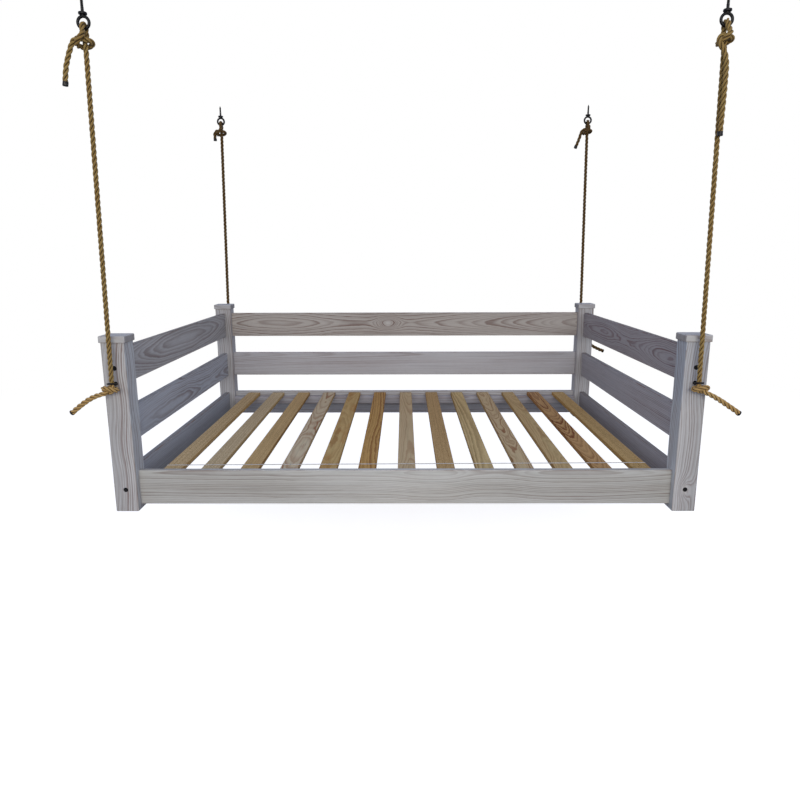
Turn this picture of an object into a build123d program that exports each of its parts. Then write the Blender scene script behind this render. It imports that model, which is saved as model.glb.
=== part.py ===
from build123d import *
import math
import os

# Porch swing bed: a slatted timber bed hung by four ropes from four ceiling eyes.
# Millimetres. +Z up, X across the width, the open side faces -Y.
# The origin is the middle of the four ceiling eyes, on the ceiling plane (z = 0).

# ---- driving dimensions -------------------------------------------------------
WIDTH = 2282.0          # over the posts
DEPTH = 1656.0          # over the posts
POST = 88.9             # square post
POST_H = 670.0          # post without its cap
CAP_T = 26.0            # cap thickness
CAP_OVER = 6.0          # cap overhang on each side of the post
RAIL_T = 25.4           # rail board thickness
RAIL_H = 139.7          # rail board height
RAIL_LOW = 19.3         # underside of the lower rails above the post feet
RAIL_MID = 262.0        # underside of the middle rails
RAIL_UP = 503.3         # underside of the upper rails
LEDGER = 38.0           # ledger strip's depth
LEDGER_H = 45.0         # and its height
SLAT_W = 72.0
SLAT_T = 19.0
SLAT_BELOW = 9.0        # slat top below the lower rails' top
SLAT_X = [-936, -785, -626, -467, -310, -152, 8, 167, 324, 485, 641, 798, 954]
STRING_D = 3.6          # slat string
ROPE_D = 18.0
HANG = 1785.0           # ceiling above the post feet
EYE_H = 520.0           # bed eye centres above the post feet
EYE_OUT = 34.0          # bed eye centres in front of the post face
EYE_R = 14.5            # bed eye, middle of the bar
EYE_BAR = 3.5           # bed eye's bar radius
EYE_TILT = 10.0         # bed eyes turned up by the pull of the ropes, degrees
LEAN = 22.0             # each rope's upper end further in than its lower end
CEIL_R = 19.0           # ceiling eye, middle of the bar
CEIL_BAR = 5.0          # ceiling eye's bar radius
CEIL_DROP = 32.0        # ceiling eye centre below the ceiling
STUD_R = 5.0            # ceiling eye's stud radius
STUD_L = 55.0           # stud above the ceiling plane
KNOT_DROP = 120.0       # where the rope leaves its top knot, below the ceiling
BOLT_R = 4.0            # rail bolts
BOLT_HEAD_R = 9.0
NUT_R = 6.0             # barrel nuts
DOWEL_R = 5.0
DOWEL_L = 60.0

XO, YO = WIDTH / 2, DEPTH / 2
SETBACK = (POST - RAIL_T) / 2      # rails are centred on the posts
XC, YC = XO - POST / 2, YO - POST / 2
ROPE_R = ROPE_D / 2
ROPE_X, ROPE_Y = XC, YO + EYE_OUT
TOP_X = ROPE_X - LEAN
EYE_ROOT = EYE_H - (EYE_OUT - 4.5) * math.tan(math.radians(EYE_TILT))   # where a bed eye's shank enters the post
CORNERS = {"front_left": (-1, -1), "front_right": (1, -1), "rear_left": (-1, 1), "rear_right": (1, 1)}

os.makedirs("parts", exist_ok=True)


def z(h):
    """Height above the post feet to the part's own frame."""
    return h - HANG


def save(name, shape):
    export_step(shape, f"parts/{name}.step")


def block(x0, x1, y0, y1, z0, z1):
    return Pos((x0 + x1) / 2, (y0 + y1) / 2, (z0 + z1) / 2) * Box(abs(x1 - x0), abs(y1 - y0), abs(z1 - z0))


def rod(p, axis, r, length):
    """Cylinder starting at p and running along axis."""
    plane = Plane(origin=p, z_dir=axis)
    return plane * Cylinder(r, length, align=(Align.CENTER, Align.CENTER, Align.MIN))


def eased(shape, axis, r):
    return fillet(shape.edges().filter_by(axis), r)


def tube(points, radii, r=ROPE_R):
    """Round tube along straight runs joined by tangent arcs."""
    path = FilletPolyline(*points, radius=radii)
    start = path ^ 0
    section = Plane(origin=start.position, z_dir=start.z_axis.direction) * Circle(r)
    return sweep(section, path=path)


def arc_radii(points):
    """Largest arcs that the runs leave room for."""
    out = []
    for a, b, c in zip(points, points[1:], points[2:]):
        u, v = Vector(*b) - Vector(*a), Vector(*c) - Vector(*b)
        turn = math.radians(u.get_angle(v))
        out.append(0.45 * min(u.length, v.length) / math.tan(turn / 2))
    return out


# ---- posts ---------------------------------------------------------------------
BOLT_HEIGHTS = [RAIL_LOW + RAIL_H / 2, RAIL_UP + RAIL_H / 2]
HEAD_DEPTH = 5.0
bolts, nuts, dowels = [], [], []
posts = {}
for name, (sx, sy) in CORNERS.items():
    cx, cy = sx * XC, sy * YC
    post = Pos(cx, cy, z(POST_H / 2)) * Box(POST, POST, POST_H)
    post = eased(post, Axis.Z, 2.5)
    post = chamfer(post.edges().group_by(Axis.Z)[0], 1.5)
    face_y = sy * YO
    inward = (0, -sy, 0)
    for h in BOLT_HEIGHTS:
        post -= rod((cx, face_y + sy, z(h)), inward, BOLT_R + 0.3, POST + 2)
        post -= rod((cx, face_y + sy, z(h)), inward, BOLT_HEAD_R + 0.4, HEAD_DEPTH + 1)
    post -= rod((cx, face_y + sy, z(EYE_ROOT)), inward, STUD_R, 76)
    posts[name] = post


def dowel_pair(p, axis, up=(0, 0, 1), spread=35.0):
    """Two dowels across a butt joint at p, one each side of the rail's middle."""
    made = []
    for s in (-1, 1):
        c = Vector(*p) + Vector(*up) * (s * spread) - Vector(*axis) * (DOWEL_L / 2)
        made.append(rod(tuple(c), axis, DOWEL_R, DOWEL_L))
    return made


# ---- rails ---------------------------------------------------------------------
def rail_x(y_mid, h0):
    """Board running across the width between two posts."""
    b = block(-XO + POST, XO - POST, y_mid - RAIL_T / 2, y_mid + RAIL_T / 2, z(h0), z(h0 + RAIL_H))
    return eased(b, Axis.X, 3.0)


def rail_y(x_mid, h0):
    """Board running front to back between two posts."""
    b = block(x_mid - RAIL_T / 2, x_mid + RAIL_T / 2, -YO + POST, YO - POST, z(h0), z(h0 + RAIL_H))
    return eased(b, Axis.Y, 3.0)


rails = {"front_rail": rail_x(-YC, RAIL_LOW)}
for level, h0 in (("lower", RAIL_LOW), ("middle", RAIL_MID), ("upper", RAIL_UP)):
    rails[f"back_rail_{level}"] = rail_x(YC, h0)
    for side, sx in (("left", -1), ("right", 1)):
        rails[f"{side}_rail_{level}"] = rail_y(sx * XC, h0)

# glued dowels: the front and back rails into the posts, and the middle side rails
joints_x = [("front_rail", -1, RAIL_LOW, "front")] + [
    (f"back_rail_{lv}", 1, h0, "rear") for lv, h0 in (("lower", RAIL_LOW), ("middle", RAIL_MID), ("upper", RAIL_UP))
]
for rail, sy, h0, row in joints_x:
    for side, sx in (("left", -1), ("right", 1)):
        pair = dowel_pair((sx * (XO - POST), sy * YC, z(h0 + RAIL_H / 2)), (1, 0, 0))
        for d in pair:
            rails[rail] -= d
            posts[f"{row}_{side}"] -= d
        dowels += pair
for side, sx in (("left", -1), ("right", 1)):
    rail = f"{side}_rail_middle"
    for row, sy in (("front", -1), ("rear", 1)):
        pair = dowel_pair((sx * XC, sy * (YO - POST), z(RAIL_MID + RAIL_H / 2)), (0, 1, 0))
        for d in pair:
            rails[rail] -= d
            posts[f"{row}_{side}"] -= d
        dowels += pair

# bolts through the posts into barrel nuts in the upper and lower side rails
NUT_IN = 52.0           # barrel nut centre from the rail's end
for side, sx in (("left", -1), ("right", 1)):
    for level, h0 in (("lower", RAIL_LOW), ("upper", RAIL_UP)):
        rail = f"{side}_rail_{level}"
        h = h0 + RAIL_H / 2
        for row, sy in (("front", -1), ("rear", 1)):
            face_y, end_y = sy * YO, sy * (YO - POST)
            inward = (0, -sy, 0)
            nut_y = end_y - sy * NUT_IN
            shank = POST - HEAD_DEPTH + NUT_IN + NUT_R + 3
            top = face_y - sy * HEAD_DEPTH
            rails[rail] -= rod((sx * XC, end_y + sy, z(h)), inward, BOLT_R + 0.3, NUT_IN + NUT_R + 5)
            outer = sx * (XC + RAIL_T / 2)
            rails[rail] -= rod((outer + sx, nut_y, z(h)), (-sx, 0, 0), NUT_R + 0.1, 22)
            nut = rod((outer - sx * 1.0, nut_y, z(h)), (-sx, 0, 0), NUT_R, 19)
            nut -= rod((sx * XC, nut_y + sy * 10, z(h)), inward, BOLT_R, 20)
            nuts.append(nut)
            bolt = rod((sx * XC, top, z(h)), inward, BOLT_R, shank)
            head = rod((sx * XC, top, z(h)), (0, sy, 0), BOLT_HEAD_R, 3.6)
            head = fillet(head.edges().filter_by(GeomType.CIRCLE).sort_by(Axis.Y)[-1 if sy > 0 else 0], 1.4)
            socket_plane = Plane(origin=(sx * XC, top + sy * 1.2, z(h)), z_dir=(0, sy, 0))
            socket = extrude(socket_plane * RegularPolygon(2.6, 6), 4)
            bolts.append((bolt + head) - socket)

# ---- ledgers and slats ----------------------------------------------------------
slat_top = RAIL_LOW + RAIL_H - SLAT_BELOW
ledger_top = slat_top - SLAT_T
INNER_Y = YO - SETBACK - RAIL_T      # inner faces of the front and back rails
ledgers, screws = {}, []
for row, sy in (("front", -1), ("back", 1)):
    b = block(-XO + POST + 1, XO - POST - 1, sy * INNER_Y, sy * (INNER_Y - LEDGER), z(ledger_top - LEDGER_H), z(ledger_top))
    b = eased(b, Axis.X, 2.0)
    rail = "front_rail" if sy < 0 else "back_rail_lower"
    for x in (-945, -472, 0, 472, 945):
        p = (x, sy * (INNER_Y - LEDGER + 1), z(ledger_top - LEDGER_H / 2))
        out = (0, sy, 0)
        screw = rod(p, out, 2.2, 52) + Plane(origin=p, z_dir=out) * Cone(4.4, 2.2, 3.5, align=(Align.CENTER, Align.CENTER, Align.MIN))
        b -= screw
        b -= rod((x, sy * (INNER_Y - LEDGER), z(ledger_top - LEDGER_H / 2)), out, 4.4, 1.0)
        rails[rail] -= screw
        screws.append(screw)
    ledgers[f"{row}_ledger"] = b

STRING_A, STRING_B = (-972.0, -YO + 123.0), (990.0, -YO + 152.0)


def string_y(x):
    t = (x - STRING_A[0]) / (STRING_B[0] - STRING_A[0])
    return STRING_A[1] + t * (STRING_B[1] - STRING_A[1])


slats, staples = {}, []
for i, x in enumerate(SLAT_X, 1):
    s = block(x - SLAT_W / 2, x + SLAT_W / 2, -INNER_Y + 2, INNER_Y - 2, z(slat_top - SLAT_T), z(slat_top))
    s = eased(s, Axis.Y, 2.0)
    yc = string_y(x)
    for dy in (-4.0, 4.0):
        leg = block(x - 0.6, x + 0.6, yc + dy - 0.5, yc + dy + 0.5, z(slat_top - 7), z(slat_top + 5))
        s -= leg
    crown = block(x - 0.6, x + 0.6, yc - 4.5, yc + 4.5, z(slat_top + STRING_D + 0.2), z(slat_top + STRING_D + 1.2))
    legs = [block(x - 0.6, x + 0.6, yc + dy - 0.5, yc + dy + 0.5, z(slat_top - 7), z(slat_top + STRING_D + 0.2)) for dy in (-4.0, 4.0)]
    staples.append(crown + legs[0] + legs[1])
    slats[f"slat_{i:02d}"] = s

a = Vector(STRING_A[0], STRING_A[1], z(slat_top + STRING_D / 2 + 0.05))
b = Vector(STRING_B[0], STRING_B[1], z(slat_top + STRING_D / 2 + 0.05))
slat_string = rod(tuple(a), tuple((b - a).normalized()), STRING_D / 2, (b - a).length)

# ---- eyes ------------------------------------------------------------------------
def threaded(p, axis, r, plain, length, pitch=3.4):
    """Lag shank: a plain neck, then ridges down to a point."""
    pts = [(0, 0), (r, 0), (r, plain)]
    y = plain
    while y + pitch < length - 9:
        pts += [(r - 1.2, y + 0.9), (r - 1.2, y + 1.9), (r, y + 2.6), (r, y + pitch)]
        y += pitch
    pts += [(r - 1.2, y + 1.0), (0, length)]
    face = make_face(Polyline(*[(px, 0, py) for px, py in pts], close=True))
    solid = revolve(face, Axis.Z)
    return Plane(origin=p, z_dir=axis) * solid


bed_eyes, washers, ceiling_eyes = {}, [], {}
for name, (sx, sy) in CORNERS.items():
    c = (sx * ROPE_X, sy * ROPE_Y, z(EYE_H))
    ring = Pos(*c) * (Rot(sy * EYE_TILT, 0, 0) * Torus(EYE_R, EYE_BAR))
    inward = (0, -sy, 0)
    slope = (0, -sy * math.cos(math.radians(EYE_TILT)), -math.sin(math.radians(EYE_TILT)))
    start = Vector(*c) + Vector(*slope) * (EYE_R + 1.5)
    neck = rod(tuple(start), slope, 4.2, (EYE_OUT - 4.5) / math.cos(math.radians(EYE_TILT)) - EYE_R - 1.5)
    collar = rod((sx * XC, sy * (YO + 6.5), z(EYE_ROOT)), inward, 6.4, 4.0)
    collar = chamfer(collar.edges().filter_by(GeomType.CIRCLE), 1.2)
    shank = rod((sx * XC, sy * (YO + 2.5), z(EYE_ROOT)), inward, STUD_R - 0.05, 70)
    bed_eyes[f"{name}_bed_eye"] = ring + neck + collar + shank
    w = rod((sx * XC, sy * (YO + 2.5), z(EYE_ROOT)), inward, 8.0, 2.5) - rod((sx * XC, sy * (YO + 3.5), z(EYE_ROOT)), inward, STUD_R + 0.3, 4.5)
    washers.append(w)

    t = (sx * TOP_X, sy * ROPE_Y, -CEIL_DROP)
    ring = Pos(*t) * (Rot(90, 0, 0) * Torus(CEIL_R, CEIL_BAR))
    neck = rod((t[0], t[1], -8.0), (0, 0, -1), 6.2, CEIL_DROP - CEIL_R - 8.0 - 1.5)
    collar = rod((t[0], t[1], -8.0), (0, 0, 1), 14.0, 8.0)
    collar = chamfer(collar.edges().filter_by(GeomType.CIRCLE), 1.5)
    stud = threaded((t[0], t[1], 0), (0, 0, 1), STUD_R, 16.0, STUD_L)
    ceiling_eyes[f"{name}_ceiling_eye"] = ring + neck + collar + stud

# ---- ropes ------------------------------------------------------------------------
BAR_Z = -CEIL_DROP - CEIL_R          # bottom bar of a ceiling eye, where the loop turns
LOOP_R = CEIL_BAR + ROPE_R + 0.6
KNOT_Z = -KNOT_DROP
top_tails = {                        # free ends below the top knots, in x, y about the rope and height above the feet
    "front_left": [(-2, -3, 1700), (-30, -14, 1684), (-54, -18, 1646), (-68, -20, 1600), (-72, -21, 1552)],
    "front_right": [(0, -14, 1704), (1, -23, 1664), (2.5, -25, 1602), (3.2, -25.5, 1532), (3.2, -25, 1458), (2.4, -24, 1385)],
    "rear_left": [(0, -2, 1704), (-14, -11, 1687), (-26, -14, 1667), (-36, -15.5, 1645)],
    "rear_right": [(0, -3, 1700), (-27, -13, 1682), (-50, -16, 1641), (-69.5, -17, 1597)],
}
low_tails = {                        # free ends beside the stopper knots
    "front_left": [(-14, 0, 499), (-54, -1, 483), (-110, -3, 453), (-160, -4, 409)],
    "front_right": [(14, 0, 499), (52, -1, 483), (108, -3, 445), (160, -4, 404)],
    "rear_left": [(0, 14, 495), (-1, 50, 476), (-3, 88, 438), (-4, 114, 391)],
    "rear_right": [(14, 0, 490), (34, 4, 454), (84, 8, 419), (156, 12, 392)],
}
ropes = {}
for name, (sx, sy) in CORNERS.items():
    rx, ry = sx * TOP_X, sy * ROPE_Y
    # loop through the ceiling eye, knot below it, free end
    up, down = (rx, ry + LOOP_R), (rx, ry - LOOP_R)
    leg = 45.0
    path = (
        Line((*up, BAR_Z - leg), (*up, BAR_Z))
        + ThreePointArc((*up, BAR_Z), (rx, ry, BAR_Z + LOOP_R), (*down, BAR_Z))
        + Line((*down, BAR_Z), (*down, BAR_Z - leg))
    )
    loop = sweep(Plane(origin=(*up, BAR_Z - leg), z_dir=(0, 0, 1)) * Circle(ROPE_R), path=path)
    half, mid = 26.0, 24.0
    prof = Polyline((0, half), (15, half), (mid, 12), (mid, -12), (15, -half + 1), (0, -half + 1), close=True)
    barrel = revolve(make_face(Plane.XZ * prof), Axis.Z)
    barrel = fillet(barrel.edges().filter_by(GeomType.CIRCLE), 5.0)
    knot = Pos(rx, ry, KNOT_Z + half) * barrel
    pts = [(rx + x, ry + y, z(h)) for x, y, h in top_tails[name]]
    tail = tube(pts, arc_radii(pts))
    top = (loop + knot + tail) - Pos(rx, ry, KNOT_Z) * Sphere(ROPE_R + 0.5)
    top -= block(rx - 14, rx + 14, ry - 14, ry + 14, KNOT_Z - 60, KNOT_Z + 0.6) if name != "front_right" else rod((rx, ry, KNOT_Z - 330), (0, 0, 1), ROPE_R + 0.7, 330.6)
    ropes[f"{name}_top_knot"] = top
    top_pts = pts
    # straight rope between the top knot and the bed eye
    upper, lower = Vector(rx, ry, KNOT_Z), Vector(sx * ROPE_X, ry, z(EYE_H))
    run = upper - lower
    rope = rod(tuple(lower), tuple(run.normalized()), ROPE_R, run.length)
    rope = rope + Pos(*lower) * Sphere(ROPE_R) + Pos(*upper) * Sphere(ROPE_R)
    ropes[f"{name}_rope"] = rope
    # stopper knot under the bed eye, with its free end
    rx = sx * ROPE_X
    prof = Polyline((0, -32), (9, -32), (16.5, -14), (16.5, 14), (9, 32), (0, 32), close=True)
    lump = revolve(make_face(Plane.XY * prof), Axis.Y)
    lump = fillet(lump.edges().filter_by(GeomType.CIRCLE), 4.0)
    lump = Pos(rx, ry, z(EYE_H - 22.5)) * (Rot(0, 0, 90) * lump)
    pts = [(rx + x, ry + y, z(h)) for x, y, h in low_tails[name]]
    ropes[f"{name}_low_knot"] = (lump + tube(pts, arc_radii(pts))) - Pos(rx, ry, z(EYE_H)) * Sphere(ROPE_R + 0.5)
    for what, route in (("upper", top_pts), ("lower", pts)):
        swept = FilletPolyline(*route, radius=arc_radii(route)).length
        print(name, what, "free end", round(swept), "mm, arcs", [round(r) for r in arc_radii(route)],
              "volume over section times length", round(tube(route, arc_radii(route)).volume / (math.pi * ROPE_R**2 * swept), 4))

# ---- write every piece -------------------------------------------------------------
for name, shape in posts.items():
    save(f"{name}_post", shape)
    sx, sy = CORNERS[name]
    cap = Pos(sx * XC, sy * YC, z(POST_H + CAP_T / 2)) * Box(POST + 2 * CAP_OVER, POST + 2 * CAP_OVER, CAP_T)
    cap = eased(cap, Axis.Z, 6.0)
    cap = fillet(cap.edges().group_by(Axis.Z)[-1], 5.0)
    cap = fillet(cap.edges().group_by(Axis.Z)[0], 2.5)
    save(f"{name}_cap", cap)
for name, shape in {**rails, **ledgers, **slats, **bed_eyes, **ceiling_eyes, **ropes}.items():
    save(name, shape)
save("slat_string", slat_string)
save("slat_staples", Compound(children=[s for s in staples]))
save("rail_bolts", Compound(children=[s for s in bolts]))
save("barrel_nuts", Compound(children=[s for s in nuts]))
save("dowels", Compound(children=[s for s in dowels]))
save("ledger_screws", Compound(children=[s for s in screws]))
save("eye_washers", Compound(children=[s for s in washers]))
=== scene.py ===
import math

import bpy
import numpy as np
from mathutils import Matrix, Vector


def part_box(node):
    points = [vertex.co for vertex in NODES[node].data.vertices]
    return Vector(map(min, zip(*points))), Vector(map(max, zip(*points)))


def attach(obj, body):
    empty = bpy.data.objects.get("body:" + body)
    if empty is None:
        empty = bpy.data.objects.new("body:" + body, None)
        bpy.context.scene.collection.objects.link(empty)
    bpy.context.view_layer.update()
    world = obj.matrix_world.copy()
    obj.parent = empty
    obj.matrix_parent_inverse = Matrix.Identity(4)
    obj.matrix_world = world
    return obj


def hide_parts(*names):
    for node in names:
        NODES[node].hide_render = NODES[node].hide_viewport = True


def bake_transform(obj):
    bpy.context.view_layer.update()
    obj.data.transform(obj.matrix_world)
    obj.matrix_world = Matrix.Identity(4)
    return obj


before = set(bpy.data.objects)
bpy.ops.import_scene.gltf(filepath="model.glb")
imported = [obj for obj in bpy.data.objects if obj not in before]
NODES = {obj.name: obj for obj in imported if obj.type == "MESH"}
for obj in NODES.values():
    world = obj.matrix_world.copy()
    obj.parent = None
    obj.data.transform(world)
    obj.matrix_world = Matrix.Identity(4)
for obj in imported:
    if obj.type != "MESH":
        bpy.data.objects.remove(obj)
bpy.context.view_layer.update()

# Hanging porch bed: slatted timber frame on four ropes. Metres, the frame's own axes.
scene = bpy.context.scene
scene.view_settings.view_transform = "Standard"
scene.view_settings.look = "None"


# ---------------------------------------------------------------------------- camera
def make_camera():
    p, y, r = math.radians(12.333), math.radians(-0.355), math.radians(0.154)
    fwd = Vector((math.cos(p) * math.sin(y), math.cos(p) * math.cos(y), -math.sin(p)))
    right0 = Vector((math.cos(y), -math.sin(y), 0))
    up0 = Vector((math.sin(p) * math.sin(y), math.sin(p) * math.cos(y), math.cos(p)))
    right = math.cos(r) * right0 - math.sin(r) * up0
    up = math.sin(r) * right0 + math.cos(r) * up0
    data = bpy.data.cameras.new("camera")
    data.lens, data.sensor_width = 30.099, 36.0
    data.clip_start, data.clip_end = 0.05, 200.0
    cam = bpy.data.objects.new("camera", data)
    m = Matrix((right, up, -fwd)).transposed().to_4x4()
    m.translation = (-0.0021, -3.3154, -0.7915)
    cam.matrix_world = m
    scene.collection.objects.link(cam)
    scene.camera = cam


make_camera()


# ---------------------------------------------------------------------------- node helpers
def srgb(r, g, b):
    def f(c):
        c /= 255.0
        return c / 12.92 if c <= 0.04045 else ((c + 0.055) / 1.055) ** 2.4
    return (f(r), f(g), f(b), 1.0)


class Shader:
    """Small wrapper that keeps the node code short."""

    def __init__(self, name):
        self.mat = bpy.data.materials.new(name)
        self.mat.use_nodes = True
        self.tree = self.mat.node_tree
        self.bsdf = next(n for n in self.tree.nodes if n.type == "BSDF_PRINCIPLED")
        self.coord = None

    def node(self, kind, **props):
        n = self.tree.nodes.new(kind)
        for k, v in props.items():
            setattr(n, k, v)
        return n

    def put(self, socket, value):
        if isinstance(value, bpy.types.NodeSocket):
            self.tree.links.new(value, socket)
        else:
            socket.default_value = value

    def math(self, op, a, b=None, c=None, clamp=False):
        n = self.node("ShaderNodeMath", operation=op, use_clamp=clamp)
        for i, v in enumerate((a, b, c)):
            if v is not None:
                self.put(n.inputs[i], v)
        return n.outputs[0]

    def object(self):
        if self.coord is None:
            self.coord = self.node("ShaderNodeTexCoord").outputs["Object"]
        return self.coord

    def xyz(self, vector):
        n = self.node("ShaderNodeSeparateXYZ")
        self.put(n.inputs[0], vector)
        return n.outputs[0], n.outputs[1], n.outputs[2]

    def mapping(self, vector, scale, offset=(0, 0, 0)):
        n = self.node("ShaderNodeMapping")
        self.put(n.inputs["Vector"], vector)
        n.inputs["Scale"].default_value = scale
        n.inputs["Location"].default_value = offset
        return n.outputs[0]

    def noise(self, vector, scale=1.0, detail=2.0, rough=0.5, distortion=0.0):
        n = self.node("ShaderNodeTexNoise")
        self.put(n.inputs["Vector"], vector)
        n.inputs["Scale"].default_value = scale
        n.inputs["Detail"].default_value = detail
        n.inputs["Roughness"].default_value = rough
        n.inputs["Distortion"].default_value = distortion
        return n.outputs[0]

    def noise1(self, value, scale, detail=1.0):
        n = self.node("ShaderNodeTexNoise", noise_dimensions="1D")
        self.put(n.inputs["W"], value)
        n.inputs["Scale"].default_value = scale
        n.inputs["Detail"].default_value = detail
        return n.outputs[0]

    def voronoi(self, vector, scale, feature="F1"):
        n = self.node("ShaderNodeTexVoronoi", feature=feature)
        self.put(n.inputs["Vector"], vector)
        n.inputs["Scale"].default_value = scale
        return n.outputs["Distance"]

    def ramp(self, fac, stops, interpolation="LINEAR"):
        n = self.node("ShaderNodeValToRGB")
        r = n.color_ramp
        r.interpolation = interpolation
        while len(r.elements) < len(stops):
            r.elements.new(0.5)
        for e, (p, c) in zip(r.elements, stops):
            e.position = p
            e.color = (c, c, c, 1.0) if isinstance(c, (int, float)) else c
        self.put(n.inputs[0], fac)
        return n.outputs[0]

    def mix(self, fac, a, b, blend="MIX"):
        n = self.node("ShaderNodeMix", data_type="RGBA", blend_type=blend)
        self.put(n.inputs[0], fac)
        self.put(n.inputs[6], a)
        self.put(n.inputs[7], b)
        return n.outputs[2]

    def smooth(self, value, lo, hi, to_lo=0.0, to_hi=1.0):
        n = self.node("ShaderNodeMapRange", interpolation_type="SMOOTHSTEP")
        self.put(n.inputs["Value"], value)
        n.inputs["From Min"].default_value = lo
        n.inputs["From Max"].default_value = hi
        n.inputs["To Min"].default_value = to_lo
        n.inputs["To Max"].default_value = to_hi
        return n.outputs[0]

    def linear(self, value, lo, hi, to_lo=0.0, to_hi=1.0):
        n = self.node("ShaderNodeMapRange")
        self.put(n.inputs["Value"], value)
        n.inputs["From Min"].default_value = lo
        n.inputs["From Max"].default_value = hi
        n.inputs["To Min"].default_value = to_lo
        n.inputs["To Max"].default_value = to_hi
        return n.outputs[0]

    def curve(self, value, points, span):
        """A smooth function of a 0 to 1 value. points are (t, y), with y within plus and minus span."""
        n = self.node("ShaderNodeFloatCurve")
        c = n.mapping.curves[0]
        pts = sorted(points)
        c.points[0].location = (pts[0][0], 0.5 + pts[0][1] / (2 * span))
        c.points[1].location = (pts[-1][0], 0.5 + pts[-1][1] / (2 * span))
        for t, y in pts[1:-1]:
            c.points.new(t, 0.5 + y / (2 * span))
        n.mapping.update()
        self.put(n.inputs["Value"], value)
        return self.math("MULTIPLY_ADD", n.outputs[0], 2 * span, -span)

    def bump(self, height, strength, distance):
        n = self.node("ShaderNodeBump")
        n.inputs["Strength"].default_value = strength
        n.inputs["Distance"].default_value = distance
        self.put(n.inputs["Height"], height)
        self.put(self.bsdf.inputs["Normal"], n.outputs[0])


# ---------------------------------------------------------------------------- ropes
ROPE_D = 0.018
LAY = 0.063
AX, AY = 1.09655, 0.862            # lower ends of the ropes
TOP_X = AX - 0.022                 # the ropes lean in towards the ceiling
FEET = -1.785                      # post feet
EYE_Z = FEET + 0.520               # bed eye centres
KNOT_Z = -0.120                    # where the rope leaves its top knot
CORNERS = {"front_left": (-1, -1, "fl"), "front_right": (1, -1, "fr"), "rear_left": (-1, 1, "rl"), "rear_right": (1, 1, "rr")}

# Stopper knot under the bed eye, mm about the eye's centre, free end towards +x.
LOW_KNOT = [
    (0, 0, 0), (-0.7, 0, -8.9), (-1.4, 0.5, -19), (0.5, 2.1, -27.1), (6.9, 5.9, -33.5), (15.8, 8.2, -34.5),
    (24.5, 7.3, -31.1), (30.3, 2.8, -24.7), (31.5, -4.3, -18.2), (28.2, -12.1, -14), (20.9, -17.7, -12.7), (11.8, -18.8, -13.9),
    (3.2, -17.5, -16.5), (-5.2, -15.2, -19.5), (-12.6, -10.5, -22.5), (-16.6, -2.4, -24.6), (-15.8, 6.8, -24.8), (-10.6, 14.4, -23.1),
    (-2.3, 17.7, -20.3), (6.3, 15.7, -17.2), (12.9, 9.5, -15.2), (15.3, 0.6, -16.8), (15.1, -6, -24.2), (20.5, -9.9, -31.5),
]
# Loop over the ceiling eye's bar with a half hitch below it, mm about the point where the rope leaves, free end towards -x.
TOP_KNOT = [
    (0, 0, 0), (0, 0, 9), (0, -0.2, 18.1), (0, 1.2, 27), (0, 6, 34.7), (0, 11.5, 41.9),
    (0, 14.2, 50.6), (0, 14.4, 59.6), (0, 14.9, 68.7), (0, 12.6, 77.6), (0, 5.3, 83.3), (0, -4, 83.7),
    (0, -11.9, 78.7), (-0.1, -14.7, 70), (0.7, -16, 61), (2.9, -20.4, 53.3), (4.3, -26.6, 47.3), (2.9, -32, 41.1),
    (-1.8, -34.5, 34), (-8.2, -34, 27.4), (-14, -30.4, 22.1), (-18.3, -24.3, 18.1), (-20.8, -16.4, 15.7), (-22.1, -7.5, 14.9),
    (-21.5, 1.6, 15), (-18.4, 10.1, 15.5), (-12.5, 17.1, 16.3), (-4.4, 21.1, 17.6), (4.6, 21.5, 19.5), (12.8, 18.3, 21.7),
    (19.1, 12.1, 24), (22.5, 3.8, 26.2), (21.8, -5.2, 28.2), (16.5, -12, 29.9), (8.4, -15.3, 31.4), (-0.5, -16.2, 32.9),
    (-9.3, -16.4, 34.6),
]
LOW_TAIL = {                       # free ends, mm about the eye's centre
    "front_left": [(-28.5, -11.2, -35.8), (-50, -10.6, -40.8), (-82, -7, -54), (-112, -3.5, -73), (-160, -4, -111)],
    "front_right": [(28.5, -11.2, -36.8), (46, -10.6, -44.3), (76, -7.6, -61), (106, -3.5, -79.5), (160, -4, -116)],
    "rear_left": [(11.2, 32, -37.5), (9, 44, -44.3), (3, 62, -58), (-3, 88, -82), (-4, 114, -129)],
    "rear_right": [(28.5, -11.2, -40.5), (40, -11, -48.5), (56, -6, -65), (84, 8, -101), (156, 12, -128)],
}
TOP_TAIL = {                       # free ends, mm about the point where the rope leaves
    "front_left": [(-18.4, -17.4, 35.1), (-27, -16.8, 32.5), (-38.5, -16.2, 21), (-54, -18, -19), (-68, -20, -65), (-72, -21, -113)],
    "front_right": [(-18.4, -18.6, 35.4), (-28.8, -22.8, 27), (-29.3, -26.2, 11), (-19.6, -26.5, -1), (-10.5, -26.2, -13.5), (-5, -26.3, -27.5),
                    (-1.6, -26.4, -42), (2.5, -25, -63), (3.2, -25.5, -133), (3.2, -25, -207), (2.4, -24, -280)],
    "rear_left": [(-18.4, -17.5, 34.6), (-28.5, -17.4, 30), (-37.4, -17.1, 14), (-34.2, -16.4, -3), (-36, -15.5, -20)],
    "rear_right": [(-18.4, -17.4, 35.1), (-27, -16.8, 32.5), (-38.5, -15.8, 21), (-50, -16, -24), (-69.5, -17, -68)],
}


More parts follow.
